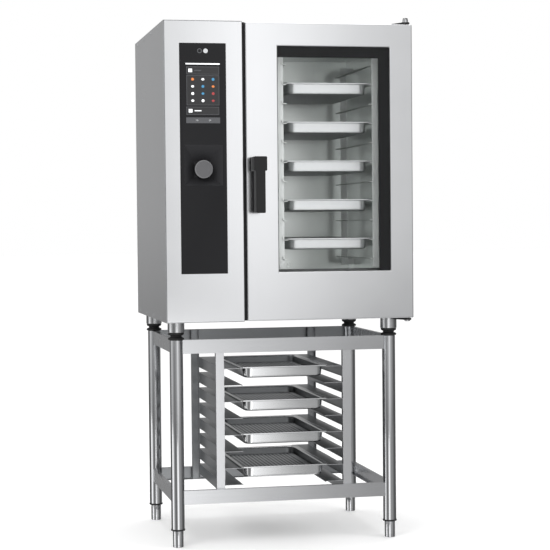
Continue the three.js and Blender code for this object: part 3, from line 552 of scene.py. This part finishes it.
def facePlace(centre, normal):
    # grid X runs along the object's X (or Y on a side), grid Y runs up
    turns = {
        "-Y": Matrix(((1, 0, 0), (0, 0, -1), (0, 1, 0))),
        "+Y": Matrix(((-1, 0, 0), (0, 0, 1), (0, 1, 0))),
        "-X": Matrix(((0, 0, -1), (-1, 0, 0), (0, 1, 0))),
        "+X": Matrix(((0, 0, 1), (1, 0, 0), (0, 1, 0))),
        "+Z": Matrix.Identity(3),
    }
    return Matrix.Translation(centre) @ turns[normal].to_4x4()


print("casing")

for name in ("left_side_panel", "right_side_panel", "top_panel", "base_pan", "rear_panel"):
    refine(name, "casing", bevel=0.4)

topZ = boxOf("top_panel")[1].z
baseZ = boxOf("base_pan")[0].z
caseLow = boxOf("left_side_panel")[0]
caseHigh = Vector((boxOf("right_side_panel")[1].x, boxOf("rear_panel")[1].y, topZ))
midY = (caseLow.y + caseHigh.y) / 2

casingLook = {
    # sizes in mm; counts and pitches are across, then up
    "screw": (9, 9, 5),
    "screwEdge": 14,
    "sideScrews": 4,
    "sidePitch": 190,
    "sideShift": 30,   # towards the rear
    "rearScrews": 5,
    "rearPitch": 205,
    "louvre": (90, 5, 3.2),
    "louvrePitch": (110, 9),
    "louvreTilt": 0.45,   # radians
    "louvreProud": 1.2,
    # name, counts, x, height of the middle over the base
    "louvreFields": [("rear_louvres", (4, 14), 100, 800), ("rear_louvres_low", (2, 10), 260, 120)],
}


def addCasingDetail(look):
    edge = look["screwEdge"] * mm
    rows = (("low", baseZ + edge), ("high", topZ - edge))
    sideY = midY + look["sideShift"] * mm
    for side, x, normal in (("left", caseLow.x, "-X"), ("right", caseHigh.x, "+X")):
        for label, z in rows:
            repeat(f"side_screws_{side}_{label}", "dome", (look["sideScrews"], 1),
                   (look["sidePitch"], 0), look["screw"], facePlace((x, sideY, z), normal),
                   "turned", mainBody)
    for label, z in rows:
        repeat(f"rear_screws_{label}", "dome", (look["rearScrews"], 1), (look["rearPitch"], 0),
               look["screw"], facePlace((0, caseHigh.y, z), "+Y"), "turned", mainBody)
    louvreY = caseHigh.y + look["louvreProud"] * mm
    for name, counts, x, rise in look["louvreFields"]:
        repeat(name, "slat", counts, look["louvrePitch"], look["louvre"],
               facePlace((x * mm, louvreY, baseZ + rise * mm), "+Y"), "casing", mainBody,
               (look["louvreTilt"], 0, 0))


addCasingDetail(casingLook)


def foldedFront(name, low, high, hole, front, body, stands, look):
    # a front sheet with a rectangular hole, its edges folded back with a soft radius;
    # low, high and hole are x and z in the plane of the sheet
    bm = bmesh.new()
    xs = [low[0], hole[0], hole[1], high[0]]
    zs = [low[1], hole[2], hole[3], high[1]]
    grid = [[bm.verts.new((x, front, z)) for z in zs] for x in xs]
    for i in range(3):
        for j in range(3):
            if (i, j) != (1, 1):
                bm.faces.new((grid[i][j], grid[i + 1][j], grid[i + 1][j + 1], grid[i][j + 1]))
    rim = [grid[i][0] for i in range(4)] + [grid[3][j] for j in (1, 2, 3)]
    rim += [grid[i][3] for i in (2, 1, 0)] + [grid[0][j] for j in (2, 1)]
    back = [bm.verts.new((v.co.x, front + look["depth"] * mm, v.co.z)) for v in rim]
    joinLoops(bm, back, rim)
    mouth = [grid[1][1], grid[1][2], grid[2][2], grid[2][1]]
    lip = [bm.verts.new((v.co.x, front + look["lip"] * mm, v.co.z)) for v in mouth]
    joinLoops(bm, lip, mouth)
    return settle(name, bm, "front", body, stands, bevel=look["fold"], segments=4,
                  sheet=look["sheet"])


fasciaLow, fasciaHigh = boxOf("control_fascia")
panelLow, panelHigh = boxOf("control_panel")
frontY = caseLow.y

fasciaLook = {"depth": 66, "lip": 6, "fold": 2.5, "sheet": 1.2, "inset": 1.5, "panelGap": 0.5}


def addFascia(look):
    gap = look["panelGap"] * mm
    hole = (panelLow.x - gap, panelHigh.x + gap, panelLow.z - gap, panelHigh.z + gap)
    foldedFront("fascia_sheet", (caseLow.x + look["inset"] * mm, fasciaLow.z),
                (fasciaHigh.x, fasciaHigh.z), hole, frontY, mainBody, ["control_fascia"], look)


addFascia(fasciaLook)

print("controls")

columnLook = {"bevel": 0.8, "glassDepth": 6}


def addColumn(look):
    column = refine("control_panel", "panel", bevel=look["bevel"])
    column.data.materials.append(looks["bay"])
    # the cheeks and floor of the knob's bay lie behind the glass
    bayFrom = panelLow.y + look["glassDepth"] * mm
    for face in column.data.polygons:
        if face.center.y > bayFrom:
            face.material_index = 1


addColumn(columnLook)
refine("display_module", "board", bevel=0.5)
panelMid = (panelLow.x + panelHigh.x) / 2
panelFace = panelLow.y

screenLook = {
    "proud": 0.35,
    "markProud": 0.5,   # icons and lines over their card
    "faceProud": 0.2,   # a card's face over its border
    "into": 0.4,        # films reach this far into the glass
    # x from the panel's middle line, z down from its top, width, height, finish; in mm
    "bars": [
        ("status_bar", 0, 70.5, 120, 4.5, "markWhite"),
        ("upper_card", 0, 93.5, 115, 27, "markGrey"),
        ("lower_card", -1, 233, 115, 28, "markGrey"),
        ("icon_card", 0, 162, 115, 104, "markGrey"),
        ("tool_bar", 0, 266, 119, 20, "markGrey"),
        ("upper_card_icon", -44, 93.5, 13, 12, "markWhite"),
        ("lower_card_icon", -44, 233, 13, 12, "markWhite"),
        ("upper_card_line", -18, 93.5, 24, 3, "markGrey"),
        ("lower_card_line", -18, 233, 24, 3, "markWhite"),
        ("tool_mark_left", -22, 266, 10, 6, "markWhite"),
        ("tool_mark_right", 24, 266, 7, 6, "markWhite"),
    ],
    "icons": [["markOrange", "markWhite", "markBlue"], ["markWhite", "markBlue", "markOrange"],
              ["markWhite", "markBlue", "markRed"], ["markWhite", "markWhite", "markRed"]],
    "border": 1.6,
    "iconSize": 10.5,
    "iconSquash": 2,   # every second dot is this much lower
    "iconDepth": 1.0,
    "iconPitch": (36, 24.7),
    "iconTop": 124,
    "lampDrop": 25.5,
    # x from the middle line, then (radius, depth) pairs
    "powerRing": (-10.5, [(5.6, 0), (8.5, 0), (8.5, 0.5), (5.6, 0.5)]),
    "lampDot": (10.5, [(0, 0), (8, 0), (8, 0.5), (0, 0.5)]),
}


def addScreen(look):
    y0 = panelFace - look["proud"] * mm
    proud = look["faceProud"] * mm
    for name, x, down, width, height, finish in look["bars"]:
        cx, cz = panelMid + x * mm, panelHigh.z - down * mm
        halfX, halfZ = width / 2 * mm, height / 2 * mm
        front = y0 - (look["markProud"] * mm if name.endswith(("_icon", "_line")) else 0)
        boxPiece(name, (cx - halfX, front, cz - halfZ),
                 (cx + halfX, panelFace + look["into"] * mm, cz + halfZ), finish, mainBody,
                 bevel=0.15, slot="panel_black")
        if name.endswith("_card"):
            inset = look["border"] * mm
            boxPiece(name + "_face", (cx - halfX + inset, y0 - proud, cz - halfZ + inset),
                     (cx + halfX - inset, y0 + proud, cz + halfZ - inset), "markCard", mainBody,
                     bevel=0.05, slot="panel_black")
    pitchX, pitchZ = look["iconPitch"]
    size = look["iconSize"]
    for row, finishes in enumerate(look["icons"]):
        for across, finish in enumerate(finishes):
            centre = (panelMid + (across - 1) * pitchX * mm, y0 - proud,
                      panelHigh.z - (look["iconTop"] + row * pitchZ) * mm)
            tall = size - look["iconSquash"] * ((row + across) % 2)
            repeat(f"icon_{row + 1}_{across + 1}", "dome", (1, 1), (0, 0),
                   (size, tall, look["iconDepth"]), facePlace(centre, "-Y"), finish, mainBody)
    lampZ = panelHigh.z - look["lampDrop"] * mm
    x, profile = look["powerRing"]
    turnedPiece("power_ring", profile, (panelMid + x * mm, y0, lampZ), "markGrey", mainBody, "Y", 32,
                ring=True, slot="panel_black")
    x, profile = look["lampDot"]
    turnedPiece("lamp_dot", profile, (panelMid + x * mm, y0, lampZ), "markPale", mainBody, "Y", 32,
                slot="panel_black")


addScreen(screenLook)

knobLow, knobHigh = boxOf("knob")
knobCentre = (knobLow + knobHigh) / 2
knobLook = {"radius": 31.5, "depth": 30, "chamfer": 3.2, "grooves": 3, "groovePitch": 6.5,
            "sides": 72}


def addKnob(look):
    radius, depth, chamfer = look["radius"], look["depth"], look["chamfer"]
    flat, sides = radius - chamfer, look["sides"]
    face = (knobCentre.x, knobLow.y, knobCentre.z)
    # spun cap with a shallow dish, then the turned edge, then the black grip behind it
    cap = [(0, 0.5), (flat - 4, 0.5), (flat - 1.2, 0.15), (flat, 0.0), (flat, 6), (0, 6)]
    turnedPiece("knob_cap", cap, face, "knob", "knob", "Y", sides, slot="knob_alloy")
    # the turned edge's lighter grey is a painted highlight
    edge = [(0, 5), (flat + 0.05, 5), (flat + 0.05, 0.1), (flat + 0.3, 0.0), (radius, chamfer),
            (radius, chamfer + 3), (0, chamfer + 3)]
    turnedPiece("knob_edge", edge, face, "knobEdgeHighlight", "knob", "Y", sides, slot="knob_alloy")
    grip = [(0, chamfer + 2.9), (radius - 0.4, chamfer + 2.9)]
    for i in range(look["grooves"]):
        start = chamfer + 5 + i * look["groovePitch"]
        grip += [(radius - 0.2, start), (radius - 0.2, start + 4.6),
                 (radius - 1.2, start + 5.2), (radius - 1.2, start + 5.9)]
    grip += [(radius - 0.4, depth - 1), (radius - 1.4, depth), (0, depth)]
    turnedPiece("knob_grip", grip, face, "handle", "knob", "Y", sides, stands=["knob"],
                slot="knob_alloy")


addKnob(knobLook)
refine("encoder_shaft", "turned", "encoder", bevel=0.2)

print("cavity")

refine("cavity_liner", "cavity", bevel=0.5)
refine("insulation", "wool", bevel=2.0)
refine("door_gasket", "seal", bevel=1.4)
refine("fan_baffle", "cavity", bevel=0.4)
refine("fan_wheel", "rod", "fan", bevel=0.25)
refine("heating_rings", "heater", bevel=0.0, angle=62)
refine("fan_motor", "motor", bevel=1.0)
for side in ("left", "right"):
    refine(f"cavity_rack_{side}", "rackSheet", bevel=0.5)

rackLook = {
    "levels": 11,
    "pitch": 70,
    "tab": (5, 9, 5),
    "inset": 15.5,      # the tab's middle from the rack's outer side
    "setback": 6,
    "tabRise": 6,
    "rimHeight": 5.5,   # a pan's top over the rail that it lies on
}


def addRackTabs(look):
    # the small square tabs that each pair of rails hangs from, one at every level
    pitch, inset = look["pitch"] * mm, look["inset"] * mm
    topRail = boxOf("oven_pan_1")[1].z + pitch - look["rimHeight"] * mm
    middle = topRail - (look["levels"] - 1) * pitch / 2 + look["tabRise"] * mm
    for side in ("left", "right"):
        low, high = boxOf(f"cavity_rack_{side}")
        x = low.x + inset if side == "right" else high.x - inset
        repeat(f"rack_tabs_{side}", "slat", (1, look["levels"]), (0, look["pitch"]), look["tab"],
               facePlace((x, low.y + look["setback"] * mm, middle), "-Y"), "rackSheet", mainBody)


addRackTabs(rackLook)

print("pans")

panLook = {
    # inset from the rim's outer edge, height over the rim's underside, corner radius; in mm
    "section": [
        (32, -36.4, 14), (25, -36.2, 20), (20.2, -34.4, 25), (17.4, -31, 28), (16.4, -26, 30),
        (14.6, -3, 33), (13.8, -0.6, 34), (12, 0.3, 34), (3, 0.2, 15), (0.9, 0.0, 13),
        (0, 0.8, 12), (0, 3.6, 12), (0.8, 4.6, 12.5), (4, 4.5, 15), (11.6, 3.2, 34),
        (14.4, 2.2, 34), (15.8, -0.5, 33.5), (16.2, -3, 33), (17.8, -25.4, 30), (19, -29.6, 27),
        (21.6, -33, 24), (26, -34.8, 19), (32, -35.1, 14),
    ],
    "rimThickness": 4,
    "insideFrom": 16,   # the step of the section from which the sheet faces inwards
    "cornerSteps": 7,
}


def roundedLoop(bm, low, high, z, radius, steps):
    loop = []
    spots = ((high.x - radius, high.y - radius, 0), (low.x + radius, high.y - radius, 90),
             (low.x + radius, low.y + radius, 180), (high.x - radius, low.y + radius, 270))
    for x, y, start in spots:
        for i in range(steps + 1):
            turn = math.radians(start + 90 * i / steps)
            loop.append(bm.verts.new((x + radius * math.cos(turn), y + radius * math.sin(turn), z)))
    return loop


def addPan(node, look, finish):
    low, high = boxOf(node)
    rimUnder = high.z - look["rimThickness"] * mm
    bm = bmesh.new()
    loops = []
    for inset, height, radius in look["section"]:
        shift = Vector((inset * mm, inset * mm, 0))
        loops.append(roundedLoop(bm, low + shift, high - shift, rimUnder + height * mm, radius * mm,
                                 look["cornerSteps"]))
    # the inner faces take the second finish, painted shade inside the pan
    for step, (a, b) in enumerate(zip(loops, loops[1:])):
        joinLoops(bm, a, b, int(step >= look["insideFrom"]))
    bm.faces.new(loops[0])
    bm.faces.new(loops[-1]).material_index = 1
    obj = settle(node + "_drawn", bm, finish, node, [node], angle=50, slot="pan_steel")
    obj.data.materials.append(looks["panInsideShaded"])


# the pans in the cavity take the darker finish, painted shade
for i in range(1, 6):
    addPan(f"oven_pan_{i}", panLook, "panCavityShaded")
for i in range(1, 5):
    addPan(f"stand_pan_{i}", panLook, "pan")

# the plate's real holes are finer and closer, too fine to show, so they are drawn coarser
drainLook = {"margin": 25, "depth": 25, "sheet": 1.2, "corner": 24, "cornerSteps": 6,
             "hole": 8.5, "holeDepth": 0.2, "pitch": 15}


def addDrainPlate(number, look):
    body = f"stand_pan_{number}"
    low, high = boxOf(body)
    margin, corner, pitch = look["margin"], look["corner"], look["pitch"]
    inset = Vector((margin * mm, margin * mm, 0))
    top = high.z - look["depth"] * mm
    bm = bmesh.new()
    loops = [roundedLoop(bm, low + inset, high - inset, z, corner * mm, look["cornerSteps"])
             for z in (top - look["sheet"] * mm, top)]
    joinLoops(bm, *loops)
    for loop in loops:
        bm.faces.new(loop)
    settle(f"drain_plate_{number}", bm, "drain", body, slot="pan_steel")
    counts = [int(((high[i] - low[i]) / mm - 2 * margin - corner) // pitch) for i in (0, 1)]
    middle = ((low.x + high.x) / 2, (low.y + high.y) / 2, top)
    repeat(f"drain_holes_{number}", "disc", counts, (pitch, pitch),
           (look["hole"], look["hole"], look["holeDepth"]), facePlace(middle, "+Z"), "punched",
           body)


for i in range(1, 5):
    addDrainPlate(i, drainLook)

print("door")

shellLow, shellHigh = boxOf("door_shell")
paneLow, paneHigh = boxOf("door_outer_glass")
innerLow = boxOf("door_inner_glass")[0]

doorLook = {
    # mm
    "depth": (shellHigh.y - shellLow.y) / mm,
    "lip": 6,
    "fold": 4.5,
    "sheet": 1.2,
    "paneLap": 9,       # from the pane's edge in to the skin's opening
    "bandTop": 39,
    "bandRight": 41,
    "bandLap": 6,       # the bands go on behind the skin
    "bandGap": 0.2,
    "bandThickness": 0.4,
    "spacerWall": 2.0,
    "spacerGap": 0.6,
    "spacerFront": 0.9,
    "spacerBack": 0.3,
}

lap = doorLook["paneLap"] * mm
windowBox = (paneLow.x + lap, paneHigh.x - lap, paneLow.z + lap, paneHigh.z - lap)

foldedFront("door_skin", (shellLow.x, shellLow.z), (shellHigh.x, shellHigh.z), windowBox,
            shellLow.y, "door", ["door_shell"], doorLook)
# the door's inner frame takes the dull grey of the pane bar as painted shade, since it lies back in the
# door
refine("door_inner_frame", "spacerAndFrameShade", "door", bevel=0.4)
refine("door_outer_glass", "glass", "door", bevel=0.5)
refine("door_inner_glass", "glass", "door", bevel=0.5)


def addDoorDetail(look):
    x0, x1, z0, z1 = windowBox
    behind = look["bandLap"] * mm
    front = paneHigh.y + look["bandGap"] * mm
    back = front + look["bandThickness"] * mm
    bandFoot = z1 - look["bandTop"] * mm
    boxPiece("frit_band_top", (x0 - behind, front, bandFoot), (x1 + behind, back, z1 + behind),
             "frit", "door", bevel=0, slot="panel_black")
    boxPiece("frit_band_right", (x1 - look["bandRight"] * mm, front, z0 - behind),
             (x1 + behind, back, bandFoot), "frit", "door", bevel=0, slot="panel_black")
    # spacer frame between the two panes
    wall, gap = look["spacerWall"] * mm, look["spacerGap"] * mm
    yFront, yBack = paneHigh.y + look["spacerFront"] * mm, innerLow.y - look["spacerBack"] * mm
    bm = bmesh.new()
    loops = []
    for grow, y in ((gap, yFront), (gap + wall, yFront), (gap + wall, yBack), (gap, yBack)):
        spots = ((x0 - grow, z0 - grow), (x1 + grow, z0 - grow),
                 (x1 + grow, z1 + grow), (x0 - grow, z1 + grow))
        loops.append([bm.verts.new((x, y, z)) for x, z in spots])
    for a, b in zip(loops, loops[1:] + loops[:1]):
        joinLoops(bm, a, b)
    settle("pane_spacer", bm, "spacerAndFrameShade", "door", slot="door_steel")


addDoorDetail(doorLook)

seamLook = {"gap": 0.2, "width": 8.2, "setback": 3, "reach": 64, "endGap": 4}


def addSeamStrip(look):
    # a dark strip that fills the seam between fascia and door, in the seal's finish
    left, end = fasciaHigh.x + look["gap"] * mm, look["endGap"] * mm
    boxPiece("seam_strip", (left, frontY + look["setback"] * mm, baseZ + end),
             (left + look["width"] * mm, frontY + look["reach"] * mm, topZ - end), "seal",
             mainBody, bevel=0.8, slot="seal_rubber")


addSeamStrip(seamLook)
refine("door_handle", "handle", "handle", bevel=2.6, segments=4)
refine("door_latch", "turned", "handle", bevel=0.6)

hingeLook = {"radius": 9.8, "washer": 12.4, "plate": 6, "plateGap": 0.3, "inset": 18, "setback": 22}


def addHinge(name, up, look):
    refine(name, "hinge", bevel=0.9, segments=3)
    low, high = boxOf(name)
    plate = (look["plate"] + look["plateGap"]) * mm
    faceZ = topZ + plate if up > 0 else baseZ - plate
    tall = (high.z - faceZ if up > 0 else faceZ - low.z) / mm
    r, w = look["radius"], look["washer"]
    dome = [(0, 0), (w, 0), (w, 1.2), (r, 1.5), (r, tall * 0.55), (r - 0.8, tall * 0.75),
            (r - 2.6, tall * 0.92), (r - 5, tall + 0.1), (0, tall + 0.4)]
    centre = (shellHigh.x - look["inset"] * mm, shellLow.y + look["setback"] * mm, faceZ)
    turnedPiece(name + "_dome_nut", [(radius, up * height) for radius, height in dome], centre,
                "turned", mainBody, slot="bright_steel")


addHinge("upper_hinge", 1, hingeLook)
addHinge("lower_hinge", -1, hingeLook)

print("outside fittings")

refine("steam_vent", "tube", bevel=0.5)
refine("service_connections", "casing", bevel=0.8)

footLook = {
    # (radius, height) in mm, from the foot's underside
    "metal": [(0, 25.6), (28.5, 25.6), (30, 27.0), (30, 65.4), (28.8, 66.8), (0, 66.8)],
    "rubber": [(0, 0), (26.5, 0), (28.5, 1.2), (28.8, 5), (27, 7.5), (21.5, 9.5), (19.6, 12.4),
               (20.4, 15), (25, 17.2), (27.6, 19), (28.4, 21.4), (28, 25.2), (0, 25.2)],
}


def under(name):
    # the middle of a round piece's underside, and its height in mm
    low, high = boxOf(name)
    return ((low.x + high.x) / 2, (low.y + high.y) / 2, low.z), (high.z - low.z) / mm


def addOvenFoot(corner, look):
    foot = f"oven_foot_{corner}"
    centre = under(foot)[0]
    turnedPiece(foot + "_steel", look["metal"], centre, "turned", mainBody, stands=[foot],
                slot="foot_steel")
    turnedPiece(foot + "_pad", look["rubber"], centre, "rubber", mainBody, slot="seal_rubber")


for corner in corners:
    addOvenFoot(corner, footLook)

print("stand")

legLook = {
    "radius": 24,
    "bore": 22,
    "boreDepth": 140,   # room for the stud of the levelling foot
    "sides": 64,
    "ring": [(24.05, 0.0), (25.2, 0.2), (25.6, 1.0), (25.6, 4.6), (25.2, 5.4), (24.05, 5.6)],
}


def addLeg(corner, look):
    leg = f"stand_leg_{corner}"
    centre, height = under(leg)
    r, bore = look["radius"], look["bore"]
    tube = [(bore, look["boreDepth"]), (bore, 0.3), (bore + 0.5, 0), (r - 0.4, 0), (r, 0.4),
            (r, height - 2), (r - 0.8, height - 0.4), (r - 2, height), (0, height)]
    turnedPiece(leg + "_tube", tube, centre, "tube", mainBody, sides=look["sides"], stands=[leg],
                slot="stand_steel")
    turnedPiece(leg + "_ring", look["ring"], centre, "rubber", mainBody, ring=True,
                slot="seal_rubber")


levellingLook = {
    # (radius, height) in mm of the round foot; the stud goes on to the top of the piece
    "foot": [(0, 0), (16.5, 0), (18.6, 1.2), (19, 3), (19, 8), (18.2, 8.6), (18.2, 9.6),
             (19, 10.2), (19, 58), (18.2, 59.4), (15, 59.6)],
    "stud": 15,
    "studChamfer": 2,
}


def addLevellingFoot(corner, look):
    foot = f"levelling_foot_{corner}"
    centre, top = under(foot)
    stud, chamfer = look["stud"], look["studChamfer"]
    profile = look["foot"] + [(stud, top - chamfer), (stud - chamfer, top), (0, top)]
    turnedPiece(foot + "_turned", profile, centre, "turned", f"foot_{corner}", stands=[foot],
                slot="foot_steel")


for corner in corners:
    addLeg(corner, legLook)
    addLevellingFoot(corner, levellingLook)

for level in ("upper", "lower"):
    # the rear rails take the dark mill finish as painted shade under the oven
    for side, finish in (("front", "railAcross"), ("rear", "runnerMillAndShade")):
        refine(f"{level}_rail_{side}", finish, bevel=0.9, segments=3)
    for side in ("left", "right"):
        refine(f"{level}_rail_{side}", "railDeep", bevel=0.9, segments=3)


def addRunnerRack(side, postHeight):
    # the front posts' front faces are linished like the casing; the rest is in mill finish, whose dark
    # base paints the shade on the rear posts and the faces turned from the front
    rack = refine(f"runner_rack_{side}", "runnerMillAndShade", bevel=0.5)
    rack.data.materials.append(looks["casing"])
    for face in rack.data.polygons:
        heights = [rack.data.vertices[v].co.z for v in face.vertices]
        tall = max(heights) - min(heights) > postHeight
        if tall and face.normal.y < -0.5 and face.center.y < 0:
            face.material_index = 1


for side in ("left", "right"):
    addRunnerRack(side, 0.3)
